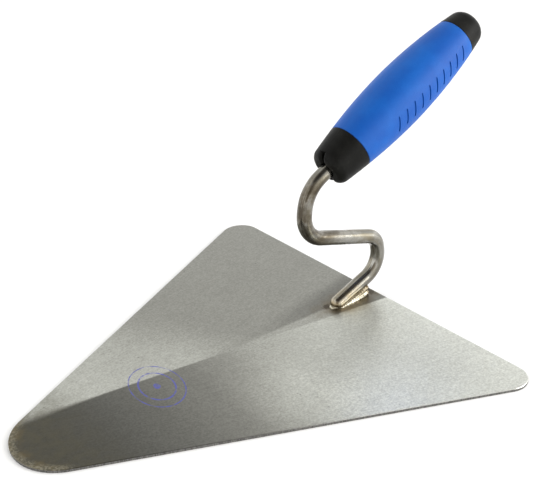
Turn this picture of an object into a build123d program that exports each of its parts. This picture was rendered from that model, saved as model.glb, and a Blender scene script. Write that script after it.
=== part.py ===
from build123d import *
from math import cos, radians, sin, tan
import os

# Triangular brick trowel: a flat stainless blade, a swan-neck rod welded to it,
# and a two-material handle pressed on the rod's tang.
# Frame: +X towards the blade's tip, +Y to the left side, +Z up.
# Origin: on the blade's underside, below the middle of the rod's welded foot.

# ---- blade (mm) ----
BLADE_THICKNESS = 1.5
HEEL_WIDTH = 247.0           # across the heel, between the corners before they are rounded
BLADE_REACH = 258.0          # from the heel to the point where the two long sides would meet
TIP_RADIUS = 26.0
HEEL_CORNER_RADIUS = 11.5
HEEL_SETBACK = 17.0          # heel edge behind the origin
EDGE_BREAK = 0.25            # broken upper edge of the ground plate

# ---- rod (mm, degrees) ----
ROD_DIAMETER = 8.0
FOOT_ANGLE = 20.4            # slope of the foot against the blade
FOOT_GAP = 1.2               # between the rod and the blade, above the origin
TOE_REACH = 9.5              # centre of the rounded toe, ahead of the origin
REAR_REACH = 22.8            # lower rear corner of the neck, behind the origin
REAR_LEAN = 3.4              # the upper rear corner stands this far ahead of the lower one
RUN_REAR_HEIGHT = 33.0       # rear end of the sloping run, above the blade's top
RUN_FRONT_HEIGHT = 50.2      # front end of the sloping run, above the blade's top
RUN_FRONT_REACH = 34.1       # front end of the run, ahead of the origin
NECK_LEAD = 15.8             # from the handle's nose to the corner of the first bend
BEND_UPPER = 20.0            # centreline radii, from the handle down to the foot
BEND_FRONT = 16.0
BEND_REAR = 10.0
BEND_FOOT = 14.0
TANG_LENGTH = 92.0           # rod inside the handle
TANG_FLAT_LENGTH = 30.0      # the far stretch of the tang, milled flat on two sides
TANG_FLAT_WIDTH = 6.0        # across the flats

# ---- weld beads (mm) ----
WELD_REAR = 12.5             # rear end of the beads, behind the origin
WELD_REAR_LEG = 4.4          # half width on the blade at the rear end
WELD_MIDDLE_LEG = 5.3
WELD_TOE_LEG = 5.0
WELD_TOE_LENGTH = 1.2        # bead ahead of the toe
WELD_BITE = 0.8              # how far up the rod's round flank the beads climb

# ---- handle (mm, degrees) ----
HANDLE_TILT = 27.9           # rise of the handle towards its butt
NOSE_REACH = 16.9            # centre of the nose's end face, ahead of the origin
NOSE_HEIGHT = 83.5           # the same centre, above the blade's top
HANDLE_LENGTH = 120.0
NOSE_RADIUS = 10.6
NOSE_ROUND = 4.6
SHOULDER_RADIUS = 13.95
SHOULDER_STATION = 25.0      # stations are counted from the nose's end face
BELLY_RADIUS = 15.7
BELLY_STATION = 54.0
WAIST_RADIUS = 14.5
WAIST_STATION = 84.0
TAIL_RADIUS = 11.8
TAIL_STATION = 106.0
BUTT_RADIUS = 9.2
BUTT_ROUND = 6.5
NOSE_LENGTH = 18.5           # bare nose, ahead of the sleeve
BUTT_LENGTH = 14.0           # bare butt, behind the sleeve
SLEEVE_WALL = 2.2
SLEEVE_EDGE_BREAK = 0.35
NOSE_SLOT_WIDTH = 1.6        # slot across the nose's end face, in the plane of the neck
NOSE_SLOT_DEPTH = 3.4
NOSE_LIP_ROUND = 1.5
MOUTH_CLEARANCE = 0.5        # around the rod, in the mouth of its socket
MOUTH_DEPTH = 2.5
SOCKET_CLEARANCE = 0.05      # around the tang
SOCKET_END_GAP = 2.0         # beyond the tang's end

# ---- grip dashes on both sides of the sleeve (mm, degrees) ----
DASH_COUNT = 10
DASH_PITCH = 6.2
DASH_LENGTH = 8.5
DASH_WIDTH = 1.0
DASH_DEPTH = 0.5
DASH_SLANT = 68.0            # against the handle's axis
DASH_START = 42.0            # station of the first dash

rod_radius = ROD_DIAMETER / 2
top = BLADE_THICKNESS
axis_x = -cos(radians(HANDLE_TILT))
axis_z = sin(radians(HANDLE_TILT))
nose = (NOSE_REACH, 0, top + NOSE_HEIGHT)
# handle frame: local X from the nose to the butt, local Y upwards, local Z to the left
handle_plane = Plane(origin=nose, x_dir=(axis_x, 0, axis_z), z_dir=(0, 1, 0))
handle_axis = Axis(nose, (axis_x, 0, axis_z))
sleeve_end = HANDLE_LENGTH - BUTT_LENGTH
foot_slope = tan(radians(FOOT_ANGLE))


def along_handle(station):
    """Point (x, z) on the handle's axis, at a station counted from the nose."""
    return (NOSE_REACH + axis_x * station, top + NOSE_HEIGHT + axis_z * station)


def foot_axis_height(x):
    """Height of the sloping foot's centreline above the blade's top."""
    return rod_radius + FOOT_GAP - foot_slope * x


def along(point):
    """Station of a point, counted from the nose along the handle's axis."""
    return (point - Vector(*nose)).dot(handle_plane.x_dir)


def cross_plane(station):
    """Plane across the handle, facing the butt, with its local X to the left."""
    x, z = along_handle(station)
    return Plane(origin=(x, 0, z), x_dir=(0, 1, 0), z_dir=(axis_x, 0, axis_z))


def handle_outline(inset):
    """Half outline of the handle over its axis, brought in by a wall. Used inside a BuildLine."""
    ends = [(0, NOSE_RADIUS), (HANDLE_LENGTH, BUTT_RADIUS)]
    stations = [
        ends[0],
        (SHOULDER_STATION, SHOULDER_RADIUS),
        (BELLY_STATION, BELLY_RADIUS),
        (WAIST_STATION, WAIST_RADIUS),
        (TAIL_STATION, TAIL_RADIUS),
        ends[1],
    ]
    side = Spline([(station, radius - inset) for station, radius in stations])
    Polyline(side @ 0, (0, 0), (HANDLE_LENGTH, 0), side @ 1)


# ---- blade: flat plate with rounded corners ----
with BuildPart() as blade:
    with BuildSketch(Plane.XY) as blade_outline:
        with BuildLine():
            Polyline(
                (-HEEL_SETBACK, -HEEL_WIDTH / 2),
                (BLADE_REACH - HEEL_SETBACK, 0),
                (-HEEL_SETBACK, HEEL_WIDTH / 2),
                close=True,
            )
        make_face()
        fillet(blade_outline.vertices().sort_by(Axis.X)[-1], TIP_RADIUS)
        fillet(blade_outline.vertices().group_by(Axis.X)[0], HEEL_CORNER_RADIUS)
    extrude(amount=BLADE_THICKNESS)
    chamfer(blade.faces().sort_by(Axis.Z)[-1].edges(), EDGE_BREAK)

# ---- shank: one bent rod, from the tang in the handle to the toe on the blade ----
toe_x = TOE_REACH
rear_x = -REAR_REACH
with BuildPart() as shank:
    with BuildLine(Plane.XZ) as neck:
        FilletPolyline(
            along_handle(TANG_LENGTH),
            along_handle(-NECK_LEAD),
            (RUN_FRONT_REACH, top + RUN_FRONT_HEIGHT),
            (rear_x + REAR_LEAN, top + RUN_REAR_HEIGHT),
            (rear_x, top + foot_axis_height(rear_x)),
            (toe_x, top + foot_axis_height(toe_x)),
            radius=[BEND_UPPER, BEND_FRONT, BEND_REAR, BEND_FOOT],
        )
    with BuildSketch(cross_plane(TANG_LENGTH)):
        Circle(rod_radius)
    sweep(path=neck.wires()[0])
    with Locations((toe_x, 0, top + foot_axis_height(toe_x))):
        Sphere(rod_radius)
    # the foot is ground flat where it sits on the blade
    split(bisect_by=Plane.XY.offset(top), keep=Keep.TOP)
    # two flats stop the tang from turning in its socket
    with BuildSketch(cross_plane(TANG_LENGTH)):
        for side in (-1, 1):
            with Locations((side * (TANG_FLAT_WIDTH + ROD_DIAMETER) / 2, 0)):
                Rectangle(ROD_DIAMETER, 2 * ROD_DIAMETER)
    extrude(amount=-TANG_FLAT_LENGTH, mode=Mode.SUBTRACT)

# ---- weld beads: one along each side of the foot, meeting below it ----
# each station of a bead: x, half width on the blade, half width and height at the rod
rear_underside = foot_axis_height(-WELD_REAR) - rod_radius
toe_front = toe_x + rod_radius + WELD_TOE_LENGTH
weld_stations = [
    (-WELD_REAR, WELD_REAR_LEG, rod_radius * 0.6, rear_underside + WELD_BITE),
    (0, WELD_MIDDLE_LEG, rod_radius * 0.85, FOOT_GAP + rod_radius / 2),
    (toe_x, WELD_TOE_LEG, rod_radius * 0.97, rod_radius * 0.4),
    (toe_front, WELD_TOE_LEG * 0.6, rod_radius * 0.4, rod_radius * 0.1),
]
welds = {}
for name, side in (("weld_left", 1), ("weld_right", -1)):
    with BuildPart() as bead:
        for x, leg, crest, height in weld_stations:
            with BuildSketch(Plane.YZ.offset(x)):
                with BuildLine():
                    Polyline(
                        (0, top),
                        (side * leg, top),
                        (side * crest, top + height),
                        (0, top + height),
                        close=True,
                    )
                make_face()
        loft(ruled=True)
        add(shank.part, mode=Mode.SUBTRACT)
    welds[name] = bead

# ---- grip dashes: shallow slanted grooves, cut to an even depth in the sleeve ----
with BuildPart() as dashes:
    with BuildSketch(handle_plane):
        with BuildLine():
            handle_outline(-DASH_DEPTH)
        make_face()
        with BuildLine():
            handle_outline(DASH_DEPTH)
        make_face(mode=Mode.SUBTRACT)
    revolve(axis=handle_axis)
    with BuildSketch(handle_plane):
        for index in range(DASH_COUNT):
            with Locations((DASH_START + index * DASH_PITCH, 0)):
                SlotOverall(DASH_LENGTH, DASH_WIDTH, rotation=DASH_SLANT)
    extrude(amount=2 * BELLY_RADIUS, both=True, mode=Mode.INTERSECT)

# ---- grip sleeve: soft tube moulded over the waist of the core ----
with BuildPart() as sleeve_space:
    with BuildSketch(handle_plane):
        with BuildLine():
            handle_outline(0)
        make_face()
        with BuildLine():
            handle_outline(SLEEVE_WALL)
        make_face(mode=Mode.SUBTRACT)
        with Locations(((NOSE_LENGTH + sleeve_end) / 2, 0)):
            Rectangle(sleeve_end - NOSE_LENGTH, 4 * BELLY_RADIUS, mode=Mode.INTERSECT)
    revolve(axis=handle_axis)

with BuildPart() as grip_sleeve:
    add(sleeve_space.part)
    rims = grip_sleeve.edges().filter_by(GeomType.CIRCLE).group_by(handle_axis)
    outer_rims = [rim.sort_by(SortBy.RADIUS)[-1] for rim in (rims[0], rims[-1])]
    chamfer(outer_rims, SLEEVE_EDGE_BREAK)
    add(dashes.part, mode=Mode.SUBTRACT)

# ---- handle core: hard nose and butt, with the spine that the sleeve is moulded on ----
with BuildPart() as handle_core:
    with BuildSketch(handle_plane) as core_section:
        with BuildLine():
            handle_outline(0)
        make_face()
        fillet(core_section.vertices().group_by(Axis.X)[0].sort_by(Axis.Y)[-1], NOSE_ROUND)
        fillet(core_section.vertices().group_by(Axis.X)[-1].sort_by(Axis.Y)[-1], BUTT_ROUND)
    revolve(axis=handle_axis)
    add(sleeve_space.part, mode=Mode.SUBTRACT)
    # slot across the nose, with rounded lips
    before_slot = handle_core.edges()
    with BuildSketch(cross_plane(0)):
        Rectangle(NOSE_SLOT_WIDTH, 4 * NOSE_RADIUS)
    extrude(amount=NOSE_SLOT_DEPTH, mode=Mode.SUBTRACT)
    lips = handle_core.edges() - before_slot
    lips = lips.filter_by(lambda lip: along(lip.center()) < NOSE_SLOT_DEPTH - NOSE_LIP_ROUND)
    fillet(lips, NOSE_LIP_ROUND)
    # mouth and socket for the rod
    with BuildSketch(cross_plane(0)):
        Circle(rod_radius + MOUTH_CLEARANCE)
    extrude(amount=NOSE_SLOT_DEPTH + MOUTH_DEPTH, mode=Mode.SUBTRACT)
    with BuildSketch(cross_plane(0)):
        Circle(rod_radius + SOCKET_CLEARANCE)
    extrude(amount=TANG_LENGTH - TANG_FLAT_LENGTH + SOCKET_CLEARANCE, mode=Mode.SUBTRACT)
    with BuildSketch(cross_plane(0)):
        Circle(rod_radius + SOCKET_CLEARANCE)
        Rectangle(TANG_FLAT_WIDTH + 2 * SOCKET_CLEARANCE, 2 * ROD_DIAMETER, mode=Mode.INTERSECT)
    extrude(amount=TANG_LENGTH + SOCKET_END_GAP, mode=Mode.SUBTRACT)

os.makedirs("parts", exist_ok=True)
blade.part.label = "blade"
export_step(blade.part, "parts/blade.step")
shank.part.label = "shank"
export_step(shank.part, "parts/shank.step")
for name, bead in welds.items():
    bead.part.label = name
    export_step(bead.part, f"parts/{name}.step")
handle_core.part.label = "handle_core"
export_step(handle_core.part, "parts/handle_core.step")
grip_sleeve.part.label = "grip_sleeve"
export_step(grip_sleeve.part, "parts/grip_sleeve.step")
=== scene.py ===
import math
import random

import bmesh
import bpy
from mathutils import Matrix, Vector


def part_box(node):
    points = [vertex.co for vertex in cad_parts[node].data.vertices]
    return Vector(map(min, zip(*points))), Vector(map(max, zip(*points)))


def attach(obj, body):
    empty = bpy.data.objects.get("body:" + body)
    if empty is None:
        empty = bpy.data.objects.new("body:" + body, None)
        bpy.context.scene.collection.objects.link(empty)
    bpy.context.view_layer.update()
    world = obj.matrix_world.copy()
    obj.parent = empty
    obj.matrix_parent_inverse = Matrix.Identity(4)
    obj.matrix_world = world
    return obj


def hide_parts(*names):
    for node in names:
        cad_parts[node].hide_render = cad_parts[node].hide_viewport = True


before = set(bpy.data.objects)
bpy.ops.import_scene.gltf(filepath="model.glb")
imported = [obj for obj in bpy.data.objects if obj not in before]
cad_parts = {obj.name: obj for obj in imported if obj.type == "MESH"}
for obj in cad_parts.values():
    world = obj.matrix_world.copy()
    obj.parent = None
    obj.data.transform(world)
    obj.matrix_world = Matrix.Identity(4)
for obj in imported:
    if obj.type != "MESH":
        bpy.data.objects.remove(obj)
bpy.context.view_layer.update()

# Everything is in metres, in the row's frame: +X to the blade's tip, +Z up,
# origin on the blade's underside below the welded foot.

MM = 0.001


# ---------------------------------------------------------------- node helper
class Shader:
    """A material with one Principled surface and short calls that add and link its nodes."""

    def __init__(self, name):
        self.material = bpy.data.materials.new(name)
        self.material.use_nodes = True
        self.tree = self.material.node_tree
        self.surface = self.tree.nodes["Principled BSDF"]
        self.place = self.node("ShaderNodeTexCoord").outputs["Object"]

    def node(self, kind, **settings):
        made = self.tree.nodes.new(kind)
        for key, value in settings.items():
            setattr(made, key, value)
        return made

    def feed(self, socket, value):
        if isinstance(value, bpy.types.NodeSocket):
            self.tree.links.new(value, socket)
        else:
            socket.default_value = value

    def set(self, **inputs):
        """Sets or links the surface's sockets. Base_Color stands for Base Color."""
        for key, value in inputs.items():
            self.feed(self.surface.inputs[key.replace("_", " ")], value)

    def math(self, operation, first, second=0.0, third=0.0):
        made = self.node("ShaderNodeMath", operation=operation)
        for socket, value in zip(made.inputs, (first, second, third)):
            self.feed(socket, value)
        return made.outputs[0]

    def vector_math(self, operation, first, second=(0, 0, 0)):
        made = self.node("ShaderNodeVectorMath", operation=operation)
        self.feed(made.inputs[0], first)
        self.feed(made.inputs[1], second)
        return made.outputs["Value" if operation in ("LENGTH", "DOT_PRODUCT") else "Vector"]

    def scaled(self, vector, factor):
        made = self.node("ShaderNodeVectorMath", operation="SCALE")
        self.feed(made.inputs[0], vector)
        self.feed(made.inputs["Scale"], factor)
        return made.outputs[0]

    def split(self, vector):
        made = self.node("ShaderNodeSeparateXYZ")
        self.feed(made.inputs[0], vector)
        return made.outputs

    def join(self, x, y, z):
        made = self.node("ShaderNodeCombineXYZ")
        for socket, value in zip(made.inputs, (x, y, z)):
            self.feed(socket, value)
        return made.outputs[0]

    def stretch(self, scale, turn):
        """Coordinates turned about Z, then scaled along each axis."""
        turned = self.node("ShaderNodeMapping")
        self.feed(turned.inputs["Vector"], self.place)
        turned.inputs["Rotation"].default_value = (0, 0, -turn)
        return self.vector_math("MULTIPLY", turned.outputs[0], scale)

    def between(self, height, limits, after=0.0):
        """1 between the middle two of four heights, fading to 0 below them and to `after` above."""
        low, full, leaving, gone = limits
        rising = self.ramp(height, low, full)
        return self.math("MULTIPLY", rising, self.ramp(height, leaving, gone, 1.0, after))

    def noise(self, vector, scale=1.0, detail=2.0, roughness=0.5):
        made = self.node("ShaderNodeTexNoise")
        self.feed(made.inputs["Vector"], vector)
        made.inputs["Scale"].default_value = scale
        made.inputs["Detail"].default_value = detail
        made.inputs["Roughness"].default_value = roughness
        return made.outputs["Fac"]

    def ramp(self, value, low, high, to_low=0.0, to_high=1.0, smooth=True):
        made = self.node("ShaderNodeMapRange")
        made.interpolation_type = "SMOOTHSTEP" if smooth else "LINEAR"
        for key, given in {"Value": value, "From Min": low, "From Max": high,
                           "To Min": to_low, "To Max": to_high}.items():
            self.feed(made.inputs[key], given)
        return made.outputs[0]

    def curve(self, value, points):
        """A number that follows a few chosen points (value, result) with straight runs between them."""
        first, last = points[0][0], points[-1][0]
        made = self.node("ShaderNodeValToRGB")
        self.feed(made.inputs["Fac"], self.ramp(value, first, last, smooth=False))
        stops = made.color_ramp.elements
        while len(stops) < len(points):
            stops.new(0.5)
        for stop, (place, result) in zip(stops, points):
            stop.position = (place - first) / (last - first)
            stop.color = (result, result, result, 1)
        return made.outputs["Color"]

    def mix(self, share, first, second):
        made = self.node("ShaderNodeMix", data_type="RGBA")
        self.feed(made.inputs["Factor"], share)
        self.feed(made.inputs["A"], colour(first))
        self.feed(made.inputs["B"], colour(second))
        return made.outputs["Result"]

    def blend(self, share, first, second):
        made = self.node("ShaderNodeMix", data_type="FLOAT")
        self.feed(made.inputs["Factor"], share)
        self.feed(made.inputs["A"], first)
        self.feed(made.inputs["B"], second)
        return made.outputs["Result"]

    def bump(self, height, distance, strength=1.0, normal=None):
        made = self.node("ShaderNodeBump")
        made.inputs["Distance"].default_value = distance
        made.inputs["Strength"].default_value = strength
        self.feed(made.inputs["Height"], height)
        if normal is not None:
            self.feed(made.inputs["Normal"], normal)
        return made.outputs[0]


def colour(value):
    """A socket as it is, or a three-number colour with alpha added."""
    if isinstance(value, bpy.types.NodeSocket):
        return value
    return (*value, 1.0)


def paint(name, material):
    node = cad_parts[name]
    node.data.materials.clear()
    node.data.materials.append(material)


# ---------------------------------------------------------------- blade
# the rounded tip, for the worn rim that follows it
TIP_CENTRE = 0.1808              # how far along X its arc's centre is
TIP_RADIUS = 0.026

# between these heights the underside's even wear gives way to the fields
UPPER_FACE = (0.0006, 0.0013)
UNDERSIDE_TONE = 0.46

# limits of the ground fields and of their painted reflection and shade, each a line y = a + b * x
LEFT_FIELD = (0.0093, -0.163)
RIGHT_FIELD = (-0.0185, 0.1583)
RIDGE = (-0.0010, -0.045)

STAMP_CENTRE = (0.1275, -0.0031)
STAMP_HALF = (0.0130, 0.0186)    # half width and half length of the oval
STAMP_TURN = math.radians(-8.5)

# grinding lines: how fast they change along and across, and their direction on each side
LINE_SCALE = (45, 2600, 1)
LEFT_LINES_TURN = math.radians(-17)
RIGHT_LINES_TURN = math.radians(9)

HEAT_BROWN = (0.115, 0.085, 0.045)
PATCH_BLACK = (0.045, 0.034, 0.022)
STAIN_BROWN = (0.140, 0.098, 0.044)
TIP_FILM = (0.092, 0.083, 0.052)
WORN_STEEL = (0.255, 0.235, 0.175)
PIT_GREY = (0.08, 0.075, 0.07)
INK_BLUE = (0.055, 0.065, 0.36)

# dark patches at the two ends of the weld: centre, half size. The rear one is painted shadow under the
# rod where it lifts off the plate; the front one darkens the plate at the rod's toe.
DARK_PATCHES = (((-0.0145, 0.0010), (0.0030, 0.0048)), ((0.0142, -0.0026), (0.0036, 0.0026)))


def above_line(s, x, y, line, soft):
    """1 on the +Y side of a line y = a + b * x, 0 on its other side, over a border 2 * soft wide."""
    offset, slope = line
    height = s.math("SUBTRACT", y, s.math("MULTIPLY_ADD", x, slope, offset))
    return s.ramp(s.math("DIVIDE", height, soft), -1.0, 1.0)


def field_reflection_and_shade(s, x, y):
    """How bright each ground field of the plate is, worked out from its place; the brightness is
    painted reflection and shade.
    """
    left = s.curve(x, [(-0.02, 0.59), (0.02, 0.52), (0.07, 0.475), (0.11, 0.205),
                       (0.14, 0.135), (0.17, 0.080), (0.19, 0.062), (0.23, 0.062)])
    # the middle of this field is painted brighter towards the long edge and darker towards the ridge
    # line: painted reflection
    across = s.ramp(y, 0.0, 0.075, -0.25, 0.42)
    reach = s.math("MULTIPLY", s.ramp(x, 0.0, 0.07), s.ramp(x, 0.085, 0.125, 1.0, 0.15))
    left = s.math("MULTIPLY", left, s.math("MULTIPLY_ADD", across, reach, 1.0))
    border = s.math("MULTIPLY_ADD", y, 0.69, x)
    right = s.curve(border, [(0.05, 0.262), (0.06, 0.28), (0.08, 0.35),
                             (0.09, 0.385), (0.14, 0.44)])
    # painted shade beside the foot: a dark wedge on its far side, a lighter shade on its near side
    wedge_shade = s.ramp(x, 0.0, 0.085, 0.16, 0.27)
    shade = s.ramp(x, 0.004, 0.022, 0.20, 0.335)
    fading = s.ramp(x, 0.145, 0.195, 0.0007, 0.0042)
    on_left = above_line(s, x, y, LEFT_FIELD, fading)
    past_right = above_line(s, x, y, RIGHT_FIELD, 0.006)
    on_ridge = above_line(s, x, y, RIDGE, 0.0012)
    middle = s.blend(on_ridge, wedge_shade, shade)
    low = s.blend(past_right, right, middle)
    return s.blend(on_left, low, left), on_left


def stamp_ink(s, x, y):
    """A plain oval ink mark: two thin lines, one inside the other, and a dot, printed unevenly."""
    dx = s.math("SUBTRACT", x, STAMP_CENTRE[0])
    dy = s.math("SUBTRACT", y, STAMP_CENTRE[1])
    cosine, sine = math.cos(STAMP_TURN), math.sin(STAMP_TURN)
    across = s.math("MULTIPLY_ADD", dx, cosine, s.math("MULTIPLY", dy, sine))
    length = s.math("MULTIPLY_ADD", dy, cosine, s.math("MULTIPLY", dx, -sine))
    across = s.math("DIVIDE", across, STAMP_HALF[0])
    length = s.math("DIVIDE", length, STAMP_HALF[1])
    radius = s.vector_math("LENGTH", s.join(across, length, 0.0))

    def ring(middle, half, soft):
        away = s.math("ABSOLUTE", s.math("SUBTRACT", radius, middle))
        return s.ramp(away, half - soft, half + soft, 1.0, 0.0)

    marks = s.math("MAXIMUM", ring(1.0, 0.022, 0.010), ring(0.66, 0.030, 0.012))
    marks = s.math("MAXIMUM", marks, ring(0.0, 0.13, 0.015))
    blots = s.noise(s.place, scale=330, detail=5, roughness=0.65)
    return s.math("MULTIPLY", marks, s.ramp(blots, 0.34, 0.58, 0.15, 0.85))


def blade_steel():
    s = Shader("blade_steel")
    x, y, z = s.split(s.place)
    # the fields' brightness is painted reflection and shade
    field_light, on_left = field_reflection_and_shade(s, x, y)

    # grinding lines, in a different direction in the left field than in the others
    lines_left = s.noise(s.stretch(LINE_SCALE, LEFT_LINES_TURN), detail=5, roughness=0.65)
    lines_right = s.noise(s.stretch(LINE_SCALE, RIGHT_LINES_TURN), detail=5, roughness=0.65)
    lines = s.blend(on_left, lines_right, lines_left)
    grain = s.noise(s.place, scale=900, detail=4, roughness=0.7)
    cloud = s.noise(s.place, scale=28, detail=3)
    tone = s.math("MULTIPLY", s.ramp(lines, 0.25, 0.75, 0.86, 1.14, smooth=False),
                  s.ramp(grain, 0.3, 0.7, 0.76, 1.24, smooth=False))
    tone = s.math("MULTIPLY", tone, s.ramp(cloud, 0.3, 0.7, 0.97, 1.03, smooth=False))

    # the underside wears evenly
    upward = s.ramp(z, *UPPER_FACE)
    bright = s.math("MULTIPLY", s.blend(upward, UNDERSIDE_TONE, field_light), tone)
    tint = s.mix(s.ramp(bright, 0.1, 0.6), (0.96, 0.95, 0.86), (0.985, 1.0, 0.93))
    base = s.scaled(tint, bright)

    # heat tint round the welded foot
    lengthwise = s.math("MULTIPLY", s.math("SUBTRACT", x, 0.001), 0.45)
    foot = s.vector_math("LENGTH", s.join(lengthwise, y, 0.0))
    waver = s.ramp(s.noise(s.place, scale=160, detail=3), 0.2, 0.8, -0.002, 0.002)
    heat = s.ramp(s.math("ADD", foot, waver), 0.0050, 0.0135, 0.7, 0.0)
    base = s.mix(s.math("MULTIPLY", heat, upward), base, HEAT_BROWN)
    # dark patches at the weld's ends; the rear one is painted shadow
    for place, half in DARK_PATCHES:
        away = s.vector_math("SUBTRACT", s.join(x, y, 0.0), (*place, 0.0))
        away = s.vector_math("LENGTH", s.vector_math("DIVIDE", away, (*half, 1.0)))
        away = s.math("ADD", away, s.ramp(grain, 0.3, 0.7, -0.30, 0.30))
        dark_patch = s.math("MULTIPLY", s.ramp(away, 0.45, 1.15, 0.85, 0.0), upward)
        base = s.mix(dark_patch, base, PATCH_BLACK)

    # scuffed, stained rim round the tip
    ahead = s.math("SUBTRACT", x, TIP_CENTRE)
    reach = s.vector_math("LENGTH", s.join(ahead, y, 0.0))
    speck = s.noise(s.place, scale=900, detail=5, roughness=0.75)
    blotch = s.noise(s.place, scale=170, detail=4, roughness=0.6)
    in_tip = s.ramp(ahead, 0.006, 0.016)
    rim = s.math("MULTIPLY", s.ramp(reach, TIP_RADIUS - 0.0050, TIP_RADIUS - 0.0008), in_tip)
    stain = s.math("MULTIPLY", s.ramp(reach, TIP_RADIUS - 0.0085, TIP_RADIUS - 0.0035), in_tip)
    stain = s.math("MULTIPLY", stain, s.ramp(blotch, 0.42, 0.62, 0.1, 0.7))
    base = s.mix(stain, base, STAIN_BROWN)
    film = s.math("MULTIPLY", s.ramp(x, 0.150, 0.195), s.ramp(blotch, 0.3, 0.7, 0.25, 0.60))
    base = s.mix(s.math("MULTIPLY", film, upward), base, TIP_FILM)
    worn = s.math("MULTIPLY", rim, s.ramp(speck, 0.44, 0.60, 0.12, 0.95))
    base = s.mix(worn, base, WORN_STEEL)

    # a few dark pits and the printed mark
    pits = s.ramp(s.noise(s.place, scale=330, detail=2, roughness=0.4), 0.755, 0.80, 0.0, 0.5)
    base = s.mix(pits, base, PIT_GREY)
    ink = s.math("MULTIPLY", stamp_ink(s, x, y), upward)
    base = s.mix(ink, base, INK_BLUE)

    # the sheared edge, where the surface stands upright, is darker and rough
    flatness = s.math("ABSOLUTE", s.split(s.node("ShaderNodeTexCoord").outputs["Normal"])["Z"])
    side = s.ramp(flatness, 0.3, 0.6, 1.0, 0.0)
    shear = s.noise(s.vector_math("MULTIPLY", s.place, (1500, 1500, 220)), detail=3)
    edge = s.scaled((1.0, 0.98, 0.93), s.ramp(shear, 0.3, 0.7, 0.113, 0.243))
    base = s.mix(side, base, edge)

    rough = s.ramp(grain, 0.3, 0.7, 0.32, 0.44, smooth=False)
    rough = s.math("ADD", rough, s.math("MULTIPLY", s.math("MAXIMUM", ink, worn), 0.2))
    s.set(Base_Color=base, Roughness=s.math("MAXIMUM", rough, s.math("MULTIPLY", side, 0.5)))
    s.set(Metallic=s.math("SUBTRACT", 1.0, s.math("MULTIPLY", ink, 0.9)))
    relief = s.math("ADD", lines, s.math("MULTIPLY", grain, 0.5))
    s.set(Normal=s.bump(relief, 0.000010, 0.8))
    return s.material


# ---------------------------------------------------------------- rod
# heights where a look begins, is full, starts to leave and has left
MIDDLE_RUN = (0.030, 0.037, 0.050, 0.057)
UPPER_NECK = (0.040, 0.052, 0.076, 0.088)
NECK_DARK_SHARE_ABOVE = 0.25               # share of the neck's brown film and painted dark reflection that stays above it
FOOT_HEAT = (0.0035, 0.0130)     # the heat tint is full below the first height, gone at the second

ROD_STEEL = (0.300, 0.293, 0.268)
ROD_SCUFF = (0.195, 0.190, 0.170)
ROD_FILM = (0.215, 0.185, 0.125)
NECK_BROWN_AND_REFLECTION = (0.072, 0.058, 0.040)
HEAT_STRAW = (0.30, 0.235, 0.135)


def rod_steel():
    s = Shader("rod_steel")
    z = s.split(s.place)["Z"]
    # drawing lines run along the rod, so they change quickly across it only
    drawn = s.noise(s.vector_math("MULTIPLY", s.place, (45, 2300, 45)), detail=5, roughness=0.7)
    bands = s.noise(s.vector_math("MULTIPLY", s.place, (26, 760, 26)), detail=3, roughness=0.6)
    grain = s.noise(s.place, scale=1500, detail=4, roughness=0.7)
    patch = s.noise(s.place, scale=110, detail=4, roughness=0.6)
    run = s.between(z, MIDDLE_RUN)
    scuff = s.math("MULTIPLY", s.ramp(patch, 0.40, 0.60), s.blend(run, 0.5, 1.0))
    tone = s.math("MULTIPLY", s.ramp(drawn, 0.28, 0.72, 0.58, 1.30, smooth=False),
                  s.ramp(bands, 0.30, 0.70, 0.78, 1.14, smooth=False))
    tone = s.math("MULTIPLY", tone, s.ramp(grain, 0.3, 0.7, 0.90, 1.08, smooth=False))
    base = s.mix(scuff, ROD_STEEL, ROD_SCUFF)
    film = s.math("MULTIPLY", s.ramp(bands, 0.60, 0.42), s.ramp(patch, 0.35, 0.6, 0.2, 0.7))
    base = s.mix(film, base, ROD_FILM)
    # the upper neck's brown film also stands in for its dark reflection: painted reflection
    neck_darkening = s.between(z, UPPER_NECK, NECK_DARK_SHARE_ABOVE)
    uneven = s.ramp(s.math("ADD", patch, bands), 0.78, 1.10, 0.10, 0.90)
    base = s.mix(s.math("MULTIPLY", neck_darkening, uneven), base, NECK_BROWN_AND_REFLECTION)
    near_foot = s.ramp(z, *FOOT_HEAT, 1.0, 0.0)
    heat = s.math("MULTIPLY", near_foot, s.ramp(patch, 0.35, 0.6, 0.35, 0.8))
    base = s.mix(heat, base, HEAT_STRAW)
    base = s.scaled(base, tone)
    rough = s.math("ADD", s.blend(run, 0.15, 0.27), s.math("MULTIPLY", scuff, 0.12))
    rough = s.math("ADD", rough, s.ramp(drawn, 0.3, 0.7, -0.04, 0.05, smooth=False))
    s.set(Base_Color=base, Roughness=rough, Metallic=1.0)
    relief = s.math("ADD", drawn, s.math("MULTIPLY", scuff, s.math("MULTIPLY", grain, 0.8)))
    s.set(Normal=s.bump(relief, 0.000018))
    return s.material


# ---------------------------------------------------------------- weld beads
FOOT_ANGLE = 20.4                # slope of the rod's foot against the plate, in degrees
FOOT_SLOPE = math.tan(math.radians(FOOT_ANGLE))
FOOT_GAP = 1.2 * MM              # at the origin the rod's middle is its radius and this over the plate
TOE_REACH = 9.5 * MM             # where the rod's rounded end begins

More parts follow.
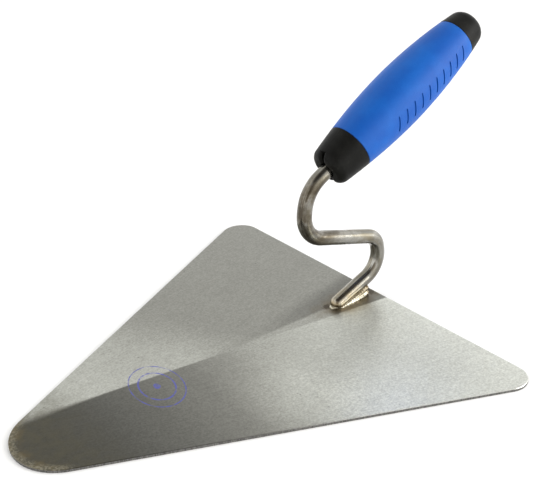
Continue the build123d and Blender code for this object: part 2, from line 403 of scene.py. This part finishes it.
# each row is spread evenly from the bead's rear end to its front end
BEAD_LEGS = (2.3, 4.3, 4.9, 4.7, 4.0, 1.5)    # reach over the plate from the rod's middle, in mm
BEAD_CLIMB = (-48, -30, -12)     # how far up the rod's flank, in degrees from its middle height
BEAD_LOBES = (1.0, 0.7, 0.0, 0.0)             # 1 where the bead has two lobes, 0 where it has one
REAR_ROUNDING = 0.08             # share of the bead's length taken by its rounded rear end
FRONT_START, FRONT_ROUNDING = 0.93, 0.07
LEAST_WIDTH, LEAST_HEIGHT = 0.4 * MM, 0.35 * MM
BULGE_SINGLE, BULGE_LOBED = 0.16, 0.17        # bulge as a share of the outer face's length

RIPPLE_PITCH = 1.55 * MM
RIPPLE_BOW = 0.9 * MM            # how far a ripple's middle lies ahead of its ends
RIPPLE_HEIGHT = 0.34
JITTER_COUNT, JITTER = 40, 0.35

BEAD_STATIONS = 110
BEAD_POINTS = 22
FLANK_POINTS = 8
MERGE_DISTANCE = 0.002 * MM


def along(values, share):
    """Straight runs between evenly spaced values, for a share from 0 to 1."""
    place = min(max(share, 0.0), 1.0) * (len(values) - 1)
    step = min(int(place), len(values) - 2)
    return values[step] + (values[step + 1] - values[step]) * (place - step)


def rod_section(x, rod_radius):
    """Half width, half height and middle height of the rod's section over the plate, along the foot."""
    height = rod_radius + FOOT_GAP - FOOT_SLOPE * min(x, TOE_REACH)
    past = max(x - TOE_REACH, 0.0)
    wide = math.sqrt(max(rod_radius ** 2 - past ** 2, 0.0))
    tall = wide * math.hypot(1.0, FOOT_SLOPE) if x < TOE_REACH else wide
    return wide, tall, height


def bead_outline(x, share, rod_radius, ripple):
    """The bead's section as (y, z): out over the plate, up its outer face, down the rod's flank."""
    end = 1.0
    if share < REAR_ROUNDING:
        end = math.sqrt(1.0 - (1.0 - share / REAR_ROUNDING) ** 2)
    if share > FRONT_START:
        end = math.sqrt(max(1.0 - ((share - FRONT_START) / FRONT_ROUNDING) ** 2, 0.0))
    wide, tall, height = rod_section(x, rod_radius)
    narrowed, lowered = 0.55 + 0.45 * end, 0.25 + 0.75 * end
    climb = math.radians(along(BEAD_CLIMB, share))
    leg = along(BEAD_LEGS, share) * MM * (0.45 + 0.55 * end)
    top_y = max(wide * math.cos(climb), LEAST_WIDTH) * narrowed
    top_z = max(height + tall * math.sin(climb), LEAST_HEIGHT) * lowered
    run, rise = top_y - leg, top_z
    length = math.hypot(run, rise)
    out_y, out_z = rise / length, -run / length
    double = along(BEAD_LOBES, share)
    outer = []
    for index in range(BEAD_POINTS):
        t = index / (BEAD_POINTS - 1)
        single = math.sin(math.pi * t)
        lobes = abs(math.sin(2 * math.pi * t)) * (1.0 if t < 0.5 else 0.75)
        wave = 1.0 + RIPPLE_HEIGHT * ripple(x - RIPPLE_BOW * math.sin(math.pi * t))
        bulge = single * (1 - double) * BULGE_SINGLE + lobes * double * BULGE_LOBED
        bulge = bulge * length * wave * end
        outer.append((leg + run * t + out_y * bulge, rise * t + out_z * bulge))
    # the inner face follows the rod to the plate, or to its lowest line where it clears the plate
    lowest = -math.asin(height / tall) if height < tall else -math.pi / 2
    inner = []
    for index in range(1, FLANK_POINTS + 1):
        turn = climb + (lowest - climb) * index / FLANK_POINTS
        inner.append((wide * math.cos(turn) * narrowed, (height + tall * math.sin(turn)) * lowered))
    return [(inner[-1][0], 0.0)] + outer + inner


def make_bead(name, side, seed):
    chance = random.Random(seed)
    low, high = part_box(name)
    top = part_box("blade")[1][2]
    rod_low, rod_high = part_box("shank")
    rod_radius = (rod_high[1] - rod_low[1]) / 2
    jitter = [chance.uniform(-JITTER, JITTER) for _ in range(JITTER_COUNT)]

    def ripple(x):
        place = (x - low[0]) / RIPPLE_PITCH + 4.0
        cycle = int(place)
        phase = place - cycle
        return 1.0 - 2.0 * phase ** 1.6 + jitter[cycle % len(jitter)]

    mesh = bmesh.new()
    rings = []
    for station in range(BEAD_STATIONS):
        share = station / (BEAD_STATIONS - 1)
        x = low[0] + (high[0] - low[0]) * share
        outline = bead_outline(x, share, rod_radius, ripple)
        rings.append([mesh.verts.new((x, side * y, top + max(z, 0.0))) for y, z in outline])
    for back, front in zip(rings, rings[1:]):
        for index in range(len(back)):
            following = (index + 1) % len(back)
            mesh.faces.new((back[index], back[following], front[following], front[index]))
    caps = [mesh.faces.new(rings[0]), mesh.faces.new(rings[-1])]
    bmesh.ops.poke(mesh, faces=caps)
    bmesh.ops.remove_doubles(mesh, verts=mesh.verts, dist=MERGE_DISTANCE)
    bmesh.ops.recalc_face_normals(mesh, faces=mesh.faces)
    for face in mesh.faces:
        face.smooth = len(face.verts) <= 4
    data = bpy.data.meshes.new(name + "_bead")
    mesh.to_mesh(data)
    mesh.free()
    bead = bpy.data.objects.new(name + "_bead", data)
    bpy.context.scene.collection.objects.link(bead)
    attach(bead, "root")
    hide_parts(name)
    return bead


def weld_metal():
    s = Shader("weld_metal")
    place = s.split(s.place)
    grain = s.noise(s.place, scale=1900, detail=4, roughness=0.7)
    patch = s.noise(s.place, scale=420, detail=3)
    base = s.mix(s.ramp(patch, 0.35, 0.65), (0.42, 0.39, 0.30), (0.70, 0.67, 0.57))
    # the bead's upper part, where it meets the rod, is painted darker brown: brown weld colour and
    # painted shade
    wander = s.ramp(patch, 0.3, 0.7, -0.0010, 0.0010)
    high = s.ramp(s.math("ADD", place["Z"], wander), 0.0032, 0.0050)
    base = s.mix(s.math("MULTIPLY", high, 0.8), base, (0.20, 0.155, 0.090))
    # the bead's rear end, under the rod where it lifts off the plate, is painted darker: painted shadow
    rear_shadow = s.ramp(s.math("ADD", place["X"], wander), -0.0108, -0.0088, 0.8, 0.0)
    base = s.mix(rear_shadow, base, (0.11, 0.082, 0.045))
    pits = s.ramp(s.noise(s.place, scale=620, detail=2), 0.66, 0.72, 0.0, 0.85)
    base = s.mix(pits, base, (0.05, 0.04, 0.03))
    s.set(Base_Color=base, Metallic=1.0, Roughness=s.ramp(grain, 0.3, 0.7, 0.24, 0.46))
    s.set(Normal=s.bump(s.math("SUBTRACT", grain, pits), 0.00006, 0.7))
    return s.material


# ---------------------------------------------------------------- handle
def moulded_skin(s, cell, depth):
    """Fine moulded texture: rounded grains with soft waviness under them."""
    cells = s.node("ShaderNodeTexVoronoi")
    s.feed(cells.inputs["Vector"], s.place)
    cells.inputs["Scale"].default_value = cell
    wave = s.noise(s.place, scale=60, detail=2)
    fine = s.bump(cells.outputs["Distance"], depth)
    return s.bump(wave, 0.00012, 0.5, normal=fine)


def core_plastic():
    s = Shader("core_plastic")
    patch = s.noise(s.place, scale=75, detail=4, roughness=0.6)
    fine = s.noise(s.place, scale=1400, detail=3, roughness=0.7)
    base = s.mix(s.ramp(patch, 0.35, 0.7), (0.0042, 0.0042, 0.0038), (0.0090, 0.0090, 0.0080))
    dust = s.math("MULTIPLY", s.ramp(fine, 0.52, 0.70), s.ramp(patch, 0.45, 0.7, 0.1, 0.5))
    base = s.mix(dust, base, (0.032, 0.032, 0.028))
    s.set(Base_Color=base, Roughness=s.ramp(fine, 0.3, 0.7, 0.38, 0.56, smooth=False))
    s.set(Specular_IOR_Level=0.09, Normal=moulded_skin(s, 2600, 0.00003))
    return s.material


def grip_rubber():
    s = Shader("grip_rubber")
    patch = s.noise(s.place, scale=48, detail=4, roughness=0.6)
    fine = s.noise(s.place, scale=1600, detail=3, roughness=0.7)
    base = s.mix(s.ramp(patch, 0.3, 0.7), (0.0015, 0.074, 0.36), (0.003, 0.098, 0.42))
    rub = s.math("MULTIPLY", s.ramp(fine, 0.5, 0.75), s.ramp(patch, 0.4, 0.7, 0.08, 0.30))
    base = s.mix(rub, base, (0.030, 0.17, 0.56))
    s.set(Base_Color=base, Roughness=s.ramp(fine, 0.3, 0.7, 0.42, 0.60, smooth=False))
    s.set(Specular_IOR_Level=0.22)
    s.set(Normal=moulded_skin(s, 2200, 0.00004))
    return s.material


# ---------------------------------------------------------------- pieces
BEADS = (("weld_left", 1, 11), ("weld_right", -1, 12))

bead_metal = weld_metal()
for bead_node, bead_side, bead_seed in BEADS:
    paint(bead_node, bead_metal)
    make_bead(bead_node, bead_side, bead_seed).data.materials.append(bead_metal)
paint("blade", blade_steel())
paint("shank", rod_steel())
paint("handle_core", core_plastic())
paint("grip_sleeve", grip_rubber())

# ---------------------------------------------------------------- camera
CAMERA_PLACE = Vector((0.3564, 0.3752, 0.3086))
CAMERA_AIM = Vector((0.0485, 0.0, 0.0556))
CAMERA_ROLL = math.radians(-1.54)
CAMERA_LENS = 70.23
CAMERA_SENSOR = 36.0             # lens and sensor width in millimetres
CAMERA_SHIFT = (-0.0099, 0.0013)
CAMERA_NEAR = 0.01


def make_camera():
    camera = bpy.data.objects.new("camera", bpy.data.cameras.new("camera"))
    bpy.context.scene.collection.objects.link(camera)
    facing = (CAMERA_AIM - CAMERA_PLACE).to_track_quat("-Z", "Y").to_matrix()
    turned = facing @ Matrix.Rotation(CAMERA_ROLL, 3, "Z")
    camera.matrix_world = Matrix.Translation(CAMERA_PLACE) @ turned.to_4x4()
    camera.data.lens = CAMERA_LENS
    camera.data.sensor_width = CAMERA_SENSOR
    camera.data.shift_x, camera.data.shift_y = CAMERA_SHIFT
    camera.data.clip_start = CAMERA_NEAR
    bpy.context.scene.camera = camera


# ---------------------------------------------------------------- floor and light
FLOOR_HALF = 3.0
KEY_PLACE = (-0.50, 0.62, 0.34)
KEY_AIM = (-0.02, 0, 0.08)
KEY_SIZE = (0.55, 0.45)
KEY_POWER = 5.0
KEY_TINT = (1.0, 0.99, 0.96)


def floor_paint():
    s = Shader("floor_white")
    s.set(Base_Color=(0.9, 0.9, 0.9, 1.0), Roughness=0.9)
    return s.material


def make_floor():
    mesh = bpy.data.meshes.new("floor")
    corners = [(-FLOOR_HALF, -FLOOR_HALF, 0), (FLOOR_HALF, -FLOOR_HALF, 0),
               (FLOOR_HALF, FLOOR_HALF, 0), (-FLOOR_HALF, FLOOR_HALF, 0)]
    mesh.from_pydata(corners, [], [(0, 1, 2, 3)])
    floor = bpy.data.objects.new("floor", mesh)
    bpy.context.scene.collection.objects.link(floor)
    mesh.materials.append(floor_paint())


def make_light(name, place, aim, size, power, tint):
    data = bpy.data.lights.new(name, "AREA")
    data.shape = "RECTANGLE"
    data.size, data.size_y = size
    data.energy = power
    data.color = tint
    light = bpy.data.objects.new(name, data)
    bpy.context.scene.collection.objects.link(light)
    facing = (Vector(aim) - Vector(place)).to_track_quat("-Z", "Y")
    light.matrix_world = Matrix.Translation(place) @ facing.to_matrix().to_4x4()


def heading(azimuth, elevation):
    """Unit vector at an azimuth from +X towards +Y and an elevation, in degrees."""
    turn, rise = math.radians(azimuth), math.radians(elevation)
    return (math.cos(turn) * math.cos(rise), math.sin(turn) * math.cos(rise), math.sin(rise))


WORLD_LEVEL = 1.75
# each dimmer area: azimuth, elevation, full inside this angle, gone outside this one, level, tint
WORLD_PATCHES = (
    (246, 50, 8, 50, 1.05, (1.0, 1.0, 0.97)),
    (72, 69, 14, 45, 0.12, (1.0, 0.95, 0.9)),
    (46, 27, 12, 30, 0.60, (1.0, 0.90, 0.76)),
)


def make_world():
    """An even white studio with three dimmer areas, painted by direction."""
    world = bpy.data.worlds.new("world")
    bpy.context.scene.world = world
    world.use_nodes = True
    tree = world.node_tree
    background = tree.nodes["Background"]
    direction = tree.nodes.new("ShaderNodeTexCoord").outputs["Generated"]
    light = None
    for azimuth, elevation, inner, outer, level, tint in WORLD_PATCHES:
        facing = tree.nodes.new("ShaderNodeVectorMath")
        facing.operation = "DOT_PRODUCT"
        tree.links.new(direction, facing.inputs[0])
        facing.inputs[1].default_value = heading(azimuth, elevation)
        share = tree.nodes.new("ShaderNodeMapRange")
        share.interpolation_type = "SMOOTHSTEP"
        tree.links.new(facing.outputs["Value"], share.inputs["Value"])
        share.inputs["From Min"].default_value = math.cos(math.radians(outer))
        share.inputs["From Max"].default_value = math.cos(math.radians(inner))
        blend = tree.nodes.new("ShaderNodeMix")
        blend.data_type = "RGBA"
        tree.links.new(share.outputs[0], blend.inputs["Factor"])
        blend.inputs["B"].default_value = (*(level * part for part in tint), 1.0)
        if light is None:
            blend.inputs["A"].default_value = (WORLD_LEVEL, WORLD_LEVEL, WORLD_LEVEL, 1.0)
        else:
            tree.links.new(light, blend.inputs["A"])
        light = blend.outputs["Result"]
    tree.links.new(light, background.inputs["Color"])


make_camera()
make_floor()
make_world()
make_light("key", KEY_PLACE, KEY_AIM, KEY_SIZE, KEY_POWER, KEY_TINT)
bpy.context.scene.view_settings.view_transform = "Standard"
